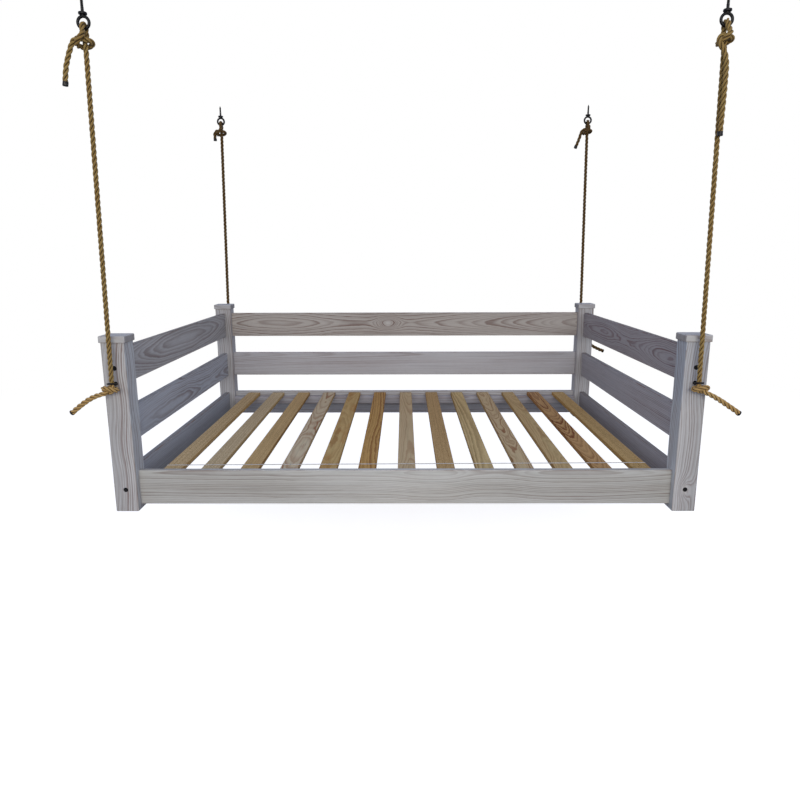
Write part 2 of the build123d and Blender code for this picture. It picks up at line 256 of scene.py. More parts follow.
def spline_points(points, resolution=16):
    """The smooth line of a NURBS spline through the route's control points."""
    cu = bpy.data.curves.new("route", "CURVE")
    cu.dimensions = "3D"
    sp = cu.splines.new("NURBS")
    sp.points.add(len(points) - 1)
    for p, c in zip(sp.points, points):
        p.co = (c[0], c[1], c[2], 1.0)
    sp.order_u = 3
    sp.use_endpoint_u = True
    sp.resolution_u = resolution
    ob = bpy.data.objects.new("route", cu)
    scene.collection.objects.link(ob)
    me = bpy.data.meshes.new_from_object(ob)
    co = np.array([v.co for v in me.vertices], float)
    bpy.data.objects.remove(ob)
    bpy.data.curves.remove(cu)
    bpy.data.meshes.remove(me)
    return co


class Line:
    """Evenly spaced points along a spline, with frames that don't twist."""

    def __init__(self, points, step, first=(1, 0, 0)):
        co = spline_points(points)
        s = np.r_[0, np.cumsum(np.linalg.norm(np.diff(co, axis=0), axis=1))]
        keep = np.r_[True, np.diff(s) > 1e-9]
        co, s = co[keep], s[keep]
        self.length = s[-1]
        n = max(4, int(round(s[-1] / step)))
        self.s = np.linspace(0, s[-1], n + 1)
        self.p = np.stack([np.interp(self.s, s, co[:, k]) for k in range(3)], 1)
        t = np.gradient(self.p, self.s, axis=0)
        self.t = t / np.linalg.norm(t, axis=1)[:, None]
        nrm = np.zeros_like(self.p)
        v = np.array(first, float)
        for i in range(len(self.p)):
            v = v - (v @ self.t[i]) * self.t[i]
            v /= np.linalg.norm(v)
            nrm[i] = v
        self.n = nrm
        self.b = np.cross(self.t, nrm)


def mesh_object(name, verts, faces, smooth=True):
    me = bpy.data.meshes.new(name)
    me.from_pydata([tuple(v) for v in verts], [], faces)
    if smooth:
        me.polygons.foreach_set("use_smooth", [True] * len(me.polygons))
    me.update()
    ob = bpy.data.objects.new(name, me)
    scene.collection.objects.link(ob)
    return ob


def laid_rope(name, line, diameter, lay, yarns, phase, strands=3, swell=None):
    """A laid rope: strands wound right-handed round the line, each with its own yarns twisted the other way."""
    wide = np.ones(len(line.s))
    if swell:                       # a free end opens up a little: (share, its length)
        wide += swell[0] * np.clip((line.s - line.length + swell[1]) / 0.05, 0, 1)
    r_strand, offset = 0.2222 * diameter * wide, 0.2778 * diameter * wide
    n = 2 * yarns
    verts, faces, lay_at, groove = [], [], [], []
    yarn_lay = 0.83 * lay
    rng = np.random.default_rng(int(1000 * diameter) + len(name))
    for k in range(strands):
        a = phase + 2 * math.pi * line.s / lay + 2 * math.pi * k / strands
        er = np.cos(a)[:, None] * line.n + np.sin(a)[:, None] * line.b
        c = line.p + offset[:, None] * er
        sc = np.r_[0, np.cumsum(np.linalg.norm(np.diff(c, axis=0), axis=1))]
        tc = np.gradient(c, axis=0)
        tc /= np.linalg.norm(tc, axis=1)[:, None]
        e1 = er - (er * tc).sum(1)[:, None] * tc
        e1 /= np.linalg.norm(e1, axis=1)[:, None]
        e2 = np.cross(tc, e1)
        beta = -2 * math.pi * sc / yarn_lay
        ridge = 1.0 + 0.045 * np.sin(sc[:, None] * 37.0 / diameter * 0.02 + np.arange(n)[None, :] * 2.4)
        base = len(verts)
        for j in range(n):
            th = beta + 2 * math.pi * j / n
            rr = r_strand * (1.035 if j % 2 == 0 else 0.955) * ridge[:, j]
            ring = c + (rr * np.cos(th))[:, None] * e1 + (rr * np.sin(th))[:, None] * e2
            verts.extend(ring)
            # groove is 1 where the strand faces outwards and 0 where it turns into the rope, lower on every other yarn;
            # the materials paint shade into the grooves by it
            g = 0.5 + 0.5 * np.cos(th)
            groove.extend(g * (1.0 if j % 2 == 0 else 0.80))
            u = 2 * math.pi * j / n
            lay_at.extend(np.stack([np.full(len(sc), math.cos(u) + 5 * k), np.full(len(sc), math.sin(u)), sc], 1))
        m = len(sc)
        for j in range(n):
            q = (j + 1) % n
            for i in range(m - 1):
                faces.append((base + j * m + i, base + q * m + i, base + q * m + i + 1, base + j * m + i + 1))
        faces.append(tuple(base + j * m for j in reversed(range(n))))
        faces.append(tuple(base + j * m + m - 1 for j in range(n)))
    ob = mesh_object(name, verts, faces)
    at = ob.data.attributes.new("lay", "FLOAT_VECTOR", "POINT")
    at.data.foreach_set("vector", np.array(lay_at, np.float32).ravel())
    at = ob.data.attributes.new("groove", "FLOAT", "POINT")
    at.data.foreach_set("value", np.array(groove, np.float32))
    return ob


def tape_end(name, line, length, phase, lay, r=0.0093):
    """Tape wound round a free end: it follows the strands a little and steps where the tape overlaps, with a rounded, pressed end."""
    seg, rows = 30, 16
    s_end = line.length
    verts, faces = [], []
    th = np.linspace(0, 2 * math.pi, seg, endpoint=False)
    where = [(s_end - length + length * i / rows, 1.0) for i in range(rows + 1)]
    where = [(where[0][0], 0.86)] + where + [(s_end + 0.0010, 0.93), (s_end + 0.0016, 0.78), (s_end + 0.0014, 0.45)]
    for s, k in where:
        i = min(s, s_end)
        p = np.array([np.interp(i, line.s, line.p[:, q]) for q in range(3)])
        t = np.array([np.interp(i, line.s, line.t[:, q]) for q in range(3)])
        t /= np.linalg.norm(t)
        nn = np.array([np.interp(i, line.s, line.n[:, q]) for q in range(3)])
        nn -= (nn @ t) * t
        nn /= np.linalg.norm(nn)
        bb = np.cross(t, nn)
        p = p + (s - i) * t
        a = phase + 2 * math.pi * s / lay
        step = 0.00022 * (((s / 0.0085) + th / (2 * math.pi)) % 1.0)
        rad = k * (r + 0.00042 * np.cos(3 * (th - a)) + step)
        verts.extend(p + rad[:, None] * (np.cos(th)[:, None] * nn + np.sin(th)[:, None] * bb))
    m = len(where)
    for i in range(m - 1):
        for j in range(seg):
            q = (j + 1) % seg
            faces.append((i * seg + j, i * seg + q, (i + 1) * seg + q, (i + 1) * seg + j))
    faces.append(tuple(reversed(range(seg))))
    faces.append(tuple((m - 1) * seg + j for j in range(seg)))
    return mesh_object(name, verts, faces)


def rope_material(name, shade):
    sh = Shader(name)
    at = sh.node("ShaderNodeAttribute", attribute_name="lay").outputs["Vector"]
    gr = sh.node("ShaderNodeAttribute", attribute_name="groove").outputs["Fac"]
    fibre = sh.noise(sh.mapping(at, (9, 9, 150)), 1.0, 3.0, 0.6)
    fine = sh.noise(sh.mapping(at, (28, 28, 420)), 1.0, 2.0, 0.6)
    patch = sh.noise(sh.object(), 14.0, 3.0, 0.55)
    def tone(r, g, b):
        return srgb(r * shade[0], g * shade[1], b * shade[2])
    yarn = sh.ramp(fibre, [(0.25, tone(150, 108, 52)), (0.5, tone(205, 165, 100)), (0.75, tone(232, 202, 146))])
    warm = sh.ramp(patch, [(0.3, tone(186, 138, 70)), (0.7, tone(222, 190, 128))])
    col = sh.mix(0.45, yarn, warm)
    fleck = sh.smooth(fine, 0.58, 0.72)
    col = sh.mix(sh.math("MULTIPLY", fleck, 0.35), col, tone(120, 84, 38))
    # painted shade in the grooves between the strands and yarns
    dark = sh.smooth(gr, 0.18, 0.80)
    col = sh.mix(dark, tone(112, 80, 36), col)
    sh.put(sh.bsdf.inputs["Base Color"], col)
    sh.put(sh.bsdf.inputs["Roughness"], sh.linear(fibre, 0.2, 0.8, 0.62, 0.86))
    sh.bsdf.inputs["Specular IOR Level"].default_value = 0.28
    sh.bsdf.inputs["Sheen Weight"].default_value = 0.12
    sh.bsdf.inputs["Sheen Roughness"].default_value = 0.5
    h = sh.math("ADD", sh.math("MULTIPLY", fibre, 0.7), sh.math("MULTIPLY", fine, 0.5))
    sh.bump(h, 0.7, 0.0006)
    return sh.mat


def tape_material():
    sh = Shader("black_tape")
    n = sh.noise(sh.object(), 260.0, 3.0, 0.6)
    dust = sh.noise(sh.object(), 70.0, 4.0, 0.6)
    col = sh.ramp(dust, [(0.3, srgb(14, 13, 13)), (0.62, srgb(27, 25, 24)), (0.8, srgb(52, 48, 44))])
    sh.put(sh.bsdf.inputs["Base Color"], col)
    sh.put(sh.bsdf.inputs["Roughness"], sh.linear(n, 0.3, 0.7, 0.35, 0.62))
    sh.bump(n, 0.35, 0.0003)
    return sh.mat


# One rope colour in three brightnesses: the front free ends lightest, the taut front runs darker, and the rear ropes
# darkest, a painted shade.
ROPE_END = rope_material("manila_rope_end", (0.95, 0.955, 0.96))
ROPE_FRONT = rope_material("manila_rope_front", (0.78, 0.79, 0.72))
ROPE_REAR_PAINTED_SHADE = rope_material("manila_rope_rear_painted_shade", (0.52, 0.48, 0.35))
TAPE = tape_material()


def at_corner(points, x0, y0, z0):
    return [(x0 + x / 1000, y0 + y / 1000, z0 + h / 1000) for x, y, h in points]


def make_ropes():
    for i, (corner, (sx, sy, tag)) in enumerate(CORNERS.items()):
        # the rear ropes take the darkest copy, a painted shade
        mat = ROPE_FRONT if sy < 0 else ROPE_REAR_PAINTED_SHADE
        first = 0.7 * i
        lower = (sx * AX, sy * AY, EYE_Z)
        upper = (sx * TOP_X, sy * AY, KNOT_Z)
        # the taut rope from the bed eye to the top knot
        lean = (upper[0] - lower[0]) / (KNOT_Z - EYE_Z)
        run = [lower, (lower[0] + 0.108 * lean, lower[1], EYE_Z + 0.108), (upper[0] - 0.108 * lean, upper[1], KNOT_Z - 0.108), upper]
        line = Line(run, 0.003)
        rope = laid_rope(f"{corner}_laid_rope", line, ROPE_D, LAY, 8, first)
        rope.data.materials.append(mat)
        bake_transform(rope)
        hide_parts(f"{corner}_rope")
        # the loop over the ceiling eye, its half hitch and free end
        pts = at_corner(TOP_KNOT + TOP_TAIL[corner], *upper)
        line = Line(pts, 0.003)
        phase = first + 2 * math.pi * 1.145 / LAY
        top = laid_rope(f"{corner}_top_hitch", line, ROPE_D, LAY, 8, phase)
        top.data.materials.append(mat)
        tape = tape_end(f"{corner}_top_tape", line, 0.013, phase, LAY)
        tape.data.materials.append(TAPE)
        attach(top, f"top_knot_{tag}")
        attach(tape, f"top_knot_{tag}")
        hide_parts(f"{corner}_top_knot")
        print("cord", corner, "top", round(line.length, 4))
        # the stopper knot under the bed eye and its free end
        body = LOW_KNOT
        if corner == "front_left":
            body = [(-x, y, h) for x, y, h in LOW_KNOT]
        if corner == "rear_left":
            body = LOW_KNOT[:3] + [(-y, x + 3.5 * min(1, k / 3), h) for k, (x, y, h) in enumerate(LOW_KNOT[3:], 1)]
        if corner == "rear_right":
            body = LOW_KNOT[:3] + [(x, y, h - 3.0) for x, y, h in LOW_KNOT[3:]]
        pts = at_corner(body + LOW_TAIL[corner], *lower)
        line = Line(pts, 0.003)
        phase = -first
        low = laid_rope(f"{corner}_stopper_knot", line, ROPE_D, LAY, 8, phase, swell=(0.12, 0.150))
        low.data.materials.append(ROPE_END if sy < 0 else mat)
        tape = tape_end(f"{corner}_low_tape", line, 0.005, phase, LAY, 0.0103)
        tape.data.materials.append(TAPE)
        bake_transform(low)
        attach(tape, f"low_knot_{tag}")
        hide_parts(f"{corner}_low_knot")
        print("cord", corner, "low", round(line.length, 4))


make_ropes()


# ---------------------------------------------------------------------------- string across the slats
def string_material():
    sh = Shader("white_string")
    at = sh.node("ShaderNodeAttribute", attribute_name="lay").outputs["Vector"]
    gr = sh.node("ShaderNodeAttribute", attribute_name="groove").outputs["Fac"]
    fibre = sh.noise(sh.mapping(at, (7, 7, 500)), 1.0, 2.0, 0.6)
    dust = sh.noise(sh.object(), 22.0, 3.0, 0.6)
    col = sh.ramp(fibre, [(0.3, srgb(190, 190, 192)), (0.6, srgb(226, 226, 226))])
    col = sh.mix(sh.smooth(dust, 0.5, 0.8, 0.0, 0.4), col, srgb(176, 170, 158))
    # painted shade in the grooves between the plies
    col = sh.mix(sh.smooth(gr, 0.1, 0.7), srgb(128, 126, 124), col)
    sh.put(sh.bsdf.inputs["Base Color"], col)
    sh.put(sh.bsdf.inputs["Roughness"], sh.linear(fibre, 0.2, 0.8, 0.6, 0.85))
    sh.bsdf.inputs["Specular IOR Level"].default_value = 0.3
    sh.bump(fibre, 0.5, 0.0002)
    return sh.mat


def make_string():
    z = FEET + 0.150 + 0.0018 + 0.00005
    a, b = Vector((-0.972, -0.705, z)), Vector((0.990, -0.676, z))
    way = (b - a).normalized()
    line = Line([tuple(a), tuple(a + 0.0216 * way), tuple(b - 0.0216 * way), tuple(b)], 0.0014, first=(0, 0, 1))
    ob = laid_rope("slat_cord", line, 0.0036, 0.0125, 3, 0.0)
    ob.data.materials.append(string_material())
    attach(ob, "bed")
    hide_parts("slat_string")


make_string()


# ---------------------------------------------------------------------------- wood
def board(node, grain, face, *, pith=0.0, depth=0.06, ring=0.006, shift=(), wander=(), early, late, contrast=1.0, wash=None, wash_amount=0.4,
          knots=(), seed=0, painted_side_light=None, warp=0.010, raw=(150, 112, 78), wear=0.35, patches=None, rough=(0.52, 0.74), coarse=1.0, tone=None, swirl=0.0, white=0.30, fine=False, fade=None, spec=0.30, fleck=0.0, under=None, tint=None, cross=None):
    """Sawn board from solid growth rings. grain is the length's axis, face the axis and side that is seen, with the pith at depth behind it."""
    sh = Shader("wood_" + node)
    lo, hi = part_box(node)
    axis, side = face
    across = 3 - grain - axis
    mid = (lo + hi) / 2
    half = (hi - lo) / 2
    xyz = sh.xyz(sh.object())
    u, v, w = xyz[grain], xyz[across], xyz[axis]
    t = sh.linear(u, lo[grain], hi[grain])

    def stretch(along, over, k):
        s = [over, over, over]
        s[grain] = along
        return sh.mapping(sh.object(), s, (seed * 3.17 + k * 7.3, seed * 5.41 - k * 2.9, seed * 1.93 + k * 4.7))

    low = sh.noise(stretch(1.3, 8.0, 1), 1.0, 2.0, 0.5)
    midn = sh.noise(stretch(5.0, 42.0, 2), 1.0, 2.0, 0.55)
    streak = sh.noise(stretch(2.6, 150.0, 3), 1.0, 3.0, 0.6)
    fibre = sh.noise(stretch(26.0, 1300.0, 4), 1.0, 2.0, 0.6)
    cloud = sh.noise(stretch(1.8, 11.0, 5), 1.0, 4.0, 0.6)

    v0 = mid[across] + pith
    dv = sh.math("SUBTRACT", v, v0)
    if wander:
        dv = sh.math("SUBTRACT", dv, sh.curve(t, [(a, b / 1000) for a, b in wander], 0.1))
    w0 = (hi[axis] - depth) if side > 0 else (lo[axis] + depth)
    dw = sh.math("SUBTRACT", w, w0)
    r = sh.math("SQRT", sh.math("ADD", sh.math("MULTIPLY", dv, dv), sh.math("MULTIPLY", dw, dw)))
    if shift:
        r = sh.math("ADD", r, sh.curve(t, [(a, b / 1000) for a, b in shift], 0.1))
    r = sh.math("MULTIPLY_ADD", sh.math("SUBTRACT", low, 0.5), warp, r)
    r = sh.math("MULTIPLY_ADD", sh.math("SUBTRACT", midn, 0.5), 0.30 * warp * coarse, r)
    if swirl:
        eddy = sh.noise(stretch(4.2, 15.0, 8), 1.0, 2.0, 0.5)
        r = sh.math("MULTIPLY_ADD", sh.math("SUBTRACT", eddy, 0.5), swirl, r)
    core = halo = light = None
    for kt, kv, kr, *pale in knots:
        du = sh.math("MULTIPLY", sh.math("SUBTRACT", u, lo[grain] + kt * (hi[grain] - lo[grain])), 0.62)
        dk = sh.math("SUBTRACT", v, mid[across] + kv)
        d = sh.math("SQRT", sh.math("ADD", sh.math("MULTIPLY", du, du), sh.math("MULTIPLY", dk, dk)))
        d = sh.math("MULTIPLY_ADD", sh.math("SUBTRACT", midn, 0.5), 0.5 * kr, d)
        g = sh.math("EXPONENT", sh.math("MULTIPLY", sh.math("MULTIPLY", d, d), -1 / (2.4 * kr) ** 2))
        r = sh.math("MULTIPLY_ADD", g, -2.2 * kr, r)
        c = sh.smooth(d, kr, 0.62 * kr)
        if pale:
            light = sh.smooth(d, 1.55 * kr, 0.35 * kr, 0.0, 0.62)
        else:
            ringk = sh.math("MULTIPLY", c, sh.math("MULTIPLY_ADD", sh.math("SINE", sh.math("MULTIPLY", d, 6.283 / (0.28 * kr))), 0.22, 0.78))
            core = ringk if core is None else sh.math("MAXIMUM", core, ringk)
        hk = sh.math("MULTIPLY", g, 0.22 if pale else 0.35)
        halo = hk if halo is None else sh.math("MAXIMUM", halo, hk)

    # rings of unequal width, with ragged edges where the fibres run out
    phi = sh.math("DIVIDE", r, ring)
    phi = sh.math("MULTIPLY_ADD", sh.noise1(sh.math("ADD", phi, seed * 13.7), 0.55), 0.9, phi)
    jag = sh.noise(stretch(11.0, 230.0, 9), 1.0, 2.0, 0.6)
    phi = sh.math("MULTIPLY_ADD", sh.math("SUBTRACT", jag, 0.5), 0.34 * coarse, phi)
    band = sh.math("FRACT", phi)
    own = sh.node("ShaderNodeTexWhiteNoise", noise_dimensions="1D")
    sh.put(own.inputs["W"], sh.math("MULTIPLY_ADD", sh.math("FLOOR", phi), 1.0, seed * 0.731))
    strength = sh.linear(own.outputs["Value"], 0.0, 1.0, 0.30, 1.0)
    if fine:
        lw = sh.ramp(band, [(0.0, 0.40), (0.06, 0.04), (0.44, 0.08), (0.64, 0.36), (0.80, 0.92), (0.95, 1.0), (1.0, 0.40)])
    else:
        lw = sh.ramp(band, [(0.0, 0.28), (0.06, 0.02), (0.32, 0.06), (0.56, 0.48), (0.76, 0.95), (0.93, 1.0), (1.0, 0.28)])
    lw = sh.math("MULTIPLY", lw, strength)
    if fade:
        lw = sh.math("MULTIPLY", lw, sh.ramp(t, fade))
    lw = sh.math("MULTIPLY", lw, sh.linear(streak, 0.25, 0.75, 0.72, 1.12), clamp=True)

    col = sh.mix(sh.math("MULTIPLY", lw, contrast, clamp=True), srgb(*early), srgb(*late))
    if patches:
        amount, spot = patches
        n = sh.noise(stretch(4.0, 26.0, 6), 1.0, 3.0, 0.6)
        col = sh.mix(sh.smooth(n, 0.48, 0.70, 0.0, amount), col, srgb(*spot))
    if halo is not None:
        col = sh.mix(halo, col, srgb(*late))
    if wash:
        thin = sh.smooth(cloud, 0.34, 0.66, 0.0, wash_amount)
        thin = sh.math("MULTIPLY", thin, sh.linear(lw, 0.0, 1.0, 1.0, 0.35))
        col = sh.mix(thin, col, srgb(*wash))
    if light is not None:
        col = sh.mix(light, col, srgb(222, 219, 214))
    if core is not None:
        col = sh.mix(sh.math("MULTIPLY", core, 0.75), col, srgb(0.52 * late[0], 0.42 * late[1], 0.36 * late[2]))
    # pale filler left in the open grain
    chalk = sh.smooth(sh.noise(stretch(5.0, 380.0, 10), 1.0, 2.0, 0.6), 0.52, 0.70, 0.0, white)
    col = sh.mix(sh.math("MULTIPLY", chalk, sh.linear(lw, 0.0, 1.0, 1.0, 0.4)), col, srgb(*(wash or early)))
    # broad streaks, then single fibres and short dark pores
    col = sh.mix(1.0, col, sh.ramp(streak, [(0.22, 0.80), (0.5, 0.97), (0.75, 1.0)]), "MULTIPLY")
    col = sh.mix(1.0, col, sh.ramp(fibre, [(0.22, 0.80), (0.46, 0.98), (0.8, 1.0)]), "MULTIPLY")
    if fleck:
        pore = sh.noise(stretch(75.0, 620.0, 11), 1.0, 2.0, 0.6)
        col = sh.mix(sh.smooth(pore, 0.50, 0.68, 0.0, fleck), col, sh.mix(1.0, col, srgb(186, 160, 124), "MULTIPLY"))
    if tone:
        col = sh.mix(1.0, col, sh.ramp(t, tone), "MULTIPLY")
    if tint:
        col = sh.mix(1.0, col, sh.ramp(t, tint), "MULTIPLY")
    if cross:
        col = sh.mix(1.0, col, sh.ramp(sh.linear(v, lo[across], hi[across]), cross), "MULTIPLY")
    if under is not None:           # painted shadow: a dark line just below a strip, and painted shade on the face below it
        col = sh.mix(sh.smooth(v, under + 0.002, under - 0.004), col, sh.mix(1.0, col, srgb(236, 240, 254), "MULTIPLY"))
        line = sh.math("MULTIPLY", sh.smooth(v, under + 0.003, under - 0.001), sh.smooth(v, under - 0.013, under - 0.004))
        col = sh.mix(sh.math("MULTIPLY", line, 0.75), col, srgb(84, 80, 84))
    # edges rubbed through to the bare wood, and darker end grain
    ev = sh.math("SUBTRACT", half[across], sh.math("ABSOLUTE", sh.math("SUBTRACT", v, mid[across])))
    ew = sh.math("SUBTRACT", half[axis], sh.math("ABSOLUTE", sh.math("SUBTRACT", w, mid[axis])))
    eu = sh.math("SUBTRACT", half[grain], sh.math("ABSOLUTE", sh.math("SUBTRACT", u, mid[grain])))
    edge = sh.smooth(sh.math("MAXIMUM", ev, ew), 0.0045, 0.0008)
    edge = sh.math("MULTIPLY", edge, sh.smooth(sh.noise(stretch(9.0, 60.0, 7), 1.0, 3.0, 0.6), 0.40, 0.62))
    col = sh.mix(sh.math("MULTIPLY", edge, wear), col, srgb(*raw))
    # painted light: the faces at the across edges take the given colour, cooler on the front posts' sides, darker on
    # the slats' sides and on the side rails' tops and bottoms
    if painted_side_light:
        col = sh.mix(sh.smooth(ev, 0.0022, 0.0006), col, sh.mix(1.0, col, srgb(*painted_side_light), "MULTIPLY"))
    col = sh.mix(sh.smooth(eu, 0.0016, 0.0002, 0.0, 0.45), col, sh.mix(1.0, col, srgb(150, 138, 128), "MULTIPLY"))
    sh.put(sh.bsdf.inputs["Base Color"], col)
    rg = sh.linear(sh.math("ADD", sh.math("MULTIPLY", streak, 0.6), sh.math("MULTIPLY", cloud, 0.4)), 0.3, 0.7, rough[1], rough[0])
    sh.put(sh.bsdf.inputs["Roughness"], rg)
    sh.bsdf.inputs["Specular IOR Level"].default_value = spec
    h = sh.math("ADD", sh.math("MULTIPLY", lw, 0.55), sh.math("MULTIPLY", fibre, 0.75))
    h = sh.math("ADD", h, sh.math("MULTIPLY", streak, 0.45))
    sh.bump(h, 0.45, 0.0006)
    ob = NODES[node]
    ob.data.materials.clear()
    ob.data.materials.append(sh.mat)
    return sh.mat


X, Y, Z = 0, 1, 2
GREY = dict(early=(196, 195, 195), late=(134, 115, 110), wash=(214, 214, 215), wash_amount=0.45)
PALE = dict(early=(205, 204, 203), late=(140, 120, 115), wash=(223, 223, 224), wash_amount=0.45)
WARM = dict(early=(194, 187, 181), late=(132, 108, 99), wash=(206, 202, 198), wash_amount=0.30)
MAUVE = dict(early=(180, 174, 175), late=(126, 103, 100), wash=(192, 189, 192), wash_amount=0.35)
SLATE = dict(early=(190, 193, 200), late=(130, 115, 114), wash=(200, 204, 210), wash_amount=0.40)

# posts, grain upright
# painted cool light on the front posts' side faces
POST_SIDE_PAINTED_LIGHT = (252, 258, 261)
PALE_SIDE = {"front_left": [(0.0, 1.17), (0.02, 0.94), (1.0, 1.18)], "front_right": [(0.0, 1.16), (0.98, 0.91), (1.0, 1.17)]}     # sapwood on the inner half
COLD_TOP = [(0.60, (1.0, 1.0, 1.0, 1.0)), (0.74, (0.89, 0.92, 0.97, 1.0))]
for k, (corner, pith, shift) in enumerate([
    ("front_left", -0.100, [(0, 6), (0.2, 0), (0.42, 5), (0.65, -3), (0.85, 2), (1, -5)]),
    ("front_right", 0.104, [(0, -6), (0.25, 3), (0.5, 6), (0.75, -2), (1, 5)]),
    ("rear_left", -0.090, [(0, 4), (0.5, -5), (1, 5)]),
    ("rear_right", 0.094, [(0, -4), (0.5, 5), (1, -5)]),
]):
    board(f"{corner}_post", Z, (Y, -1), pith=pith, depth=0.125, ring=0.0066, shift=shift, seed=3 + k, warp=0.012, contrast=1.0, painted_side_light=POST_SIDE_PAINTED_LIGHT if k < 2 else None,
          knots=[(0.133, 0.0, 0.011, "pale")] if corner == "front_right" else (), cross=PALE_SIDE.get(corner), tint=COLD_TOP if corner == "front_right" else None, **GREY)
    board(f"{corner}_cap", X, (Y, -1), pith=0.012, depth=0.10, ring=0.0065, shift=[(0, 2), (1, -2)], seed=21 + k, warp=0.008, contrast=0.6, **(PALE if k < 2 else GREY))

# rails
RAIL_EDGE_PAINTED_SHADE = (208, 203, 198)        # painted shade on the side rails' top and bottom faces
board("front_rail", X, (Y, -1), pith=0.060, depth=0.014, ring=0.0070, shift=[(0, 12), (0.30, 4), (0.46, 3), (0.56, -9), (0.66, 8), (0.78, -6), (1, 6)],
      seed=11, warp=0.012, contrast=1.0, tone=[(0.0, 0.83), (0.25, 0.88), (0.5, 1.0), (0.72, 0.895), (1.0, 0.82)], white=0.45,
      fade=[(0.0, 1.0), (0.28, 1.0), (0.45, 0.70), (0.58, 0.70), (0.75, 1.0), (1.0, 1.0)],
      early=(216, 214, 207), late=(146, 128, 119), wash=(229, 229, 226), wash_amount=0.45)
board("back_rail_upper", X, (Y, -1), pith=0.010, depth=0.050, ring=0.0058, shift=[(0, 3), (0.14, -11), (0.36, 9), (0.55, 2), (1, -60)],
      knots=[(0.453, 0.006, 0.017, "pale")], seed=12, warp=0.012, contrast=1.2, swirl=0.006, fade=[(0.0, 1.0), (0.62, 1.0), (0.72, 0.70), (1.0, 0.76)], early=(194, 187, 180), late=(121, 95, 86), wash=(206, 201, 196), wash_amount=0.28, white=0.22)
board("back_rail_middle", X, (Y, -1), pith=0.056, depth=0.030, ring=0.0062, shift=[(0, -6), (0.22, 6), (0.5, 14), (1, 22)], seed=13, warp=0.012, contrast=1.05, fine=True,
      fade=[(0.0, 1.0), (0.35, 0.9), (0.6, 0.55), (1.0, 0.75)], early=(196, 194, 197), late=(140, 120, 116), wash=(210, 210, 214), wash_amount=0.45)
# the back rail below the ledger gets a painted shadow line and painted shade
board("back_rail_lower", X, (Y, -1), pith=0.024, depth=0.050, ring=0.0070, shift=[(0, 8), (0.5, -6), (1, 6)], seed=14, warp=0.012, contrast=0.85,
      under=float(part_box("back_ledger")[0][2]), **GREY)
board("left_rail_upper", Y, (X, 1), painted_side_light=RAIL_EDGE_PAINTED_SHADE, pith=0.016, depth=0.046, ring=0.0092, shift=[(0, 34), (0.51, -12), (1, 30)], seed=15, warp=0.014, contrast=0.85, swirl=0.008,
      tone=[(0.0, 0.97), (1.0, 0.82)], **GREY)
board("left_rail_middle", Y, (X, 1), painted_side_light=RAIL_EDGE_PAINTED_SHADE, pith=-0.030, depth=0.034, ring=0.0092, shift=[(0, 18), (0.35, 0), (0.70, 20), (1, 4)], seed=16, warp=0.016, contrast=0.95, swirl=0.026,
      fade=[(0.0, 0.35), (0.20, 0.65), (0.40, 1.0), (1.0, 1.0)], early=(190, 195, 204), late=(134, 120, 120), wash=(203, 208, 217), wash_amount=0.40)
board("left_rail_lower", Y, (X, 1), painted_side_light=RAIL_EDGE_PAINTED_SHADE, pith=0.090, depth=0.040, ring=0.0070, shift=[(0, 4), (1, -6)], seed=17, warp=0.008, contrast=0.65, swirl=0.012, wear=0.9, raw=(150, 112, 86),
      tone=[(0.0, 0.91), (1.0, 0.87)], **SLATE)
board("right_rail_upper", Y, (X, -1), painted_side_light=RAIL_EDGE_PAINTED_SHADE, pith=0.004, depth=0.046, ring=0.0056, shift=[(0, -4), (0.08, -14), (0.42, 20), (0.7, 6), (1, 24)], seed=18, warp=0.014, contrast=1.25, swirl=0.014, fine=True,
      tone=[(0.0, 0.97), (1.0, 0.88)], wear=0.9, raw=(134, 92, 76), early=(178, 172, 174), late=(124, 96, 96), wash=(192, 189, 192), wash_amount=0.35)
board("right_rail_middle", Y, (X, -1), painted_side_light=RAIL_EDGE_PAINTED_SHADE, pith=-0.120, depth=0.030, ring=0.0070, shift=[(0, 0), (1, 8)], seed=19, warp=0.008, contrast=1.15, swirl=0.010, wear=0.9, raw=(132, 90, 68), fine=True,
      fade=[(0.0, 1.0), (0.34, 1.0), (0.56, 0.48), (1.0, 0.42)], tone=[(0.0, 1.07), (0.34, 1.07), (0.56, 0.96), (1.0, 0.95)], early=(183, 180, 184), late=(126, 106, 106), wash=(194, 193, 199), wash_amount=0.35)
board("right_rail_lower", Y, (X, -1), painted_side_light=RAIL_EDGE_PAINTED_SHADE, pith=0.090, depth=0.030, ring=0.0070, shift=[(0, 0), (1, 8)], seed=20, warp=0.008, contrast=0.5,
      tone=[(0.0, 1.0), (1.0, 0.86)], **MAUVE)
for k, node in enumerate(("front_ledger", "back_ledger")):
    board(node, X, (Y, 1 if k == 0 else -1), pith=0.02, depth=0.05, ring=0.005, shift=[(0, 5), (0.5, -5), (1, 8)], seed=31 + k, contrast=0.7,
          early=(192, 189, 194), late=(142, 124, 124), wash=(202, 201, 208), wash_amount=0.4)
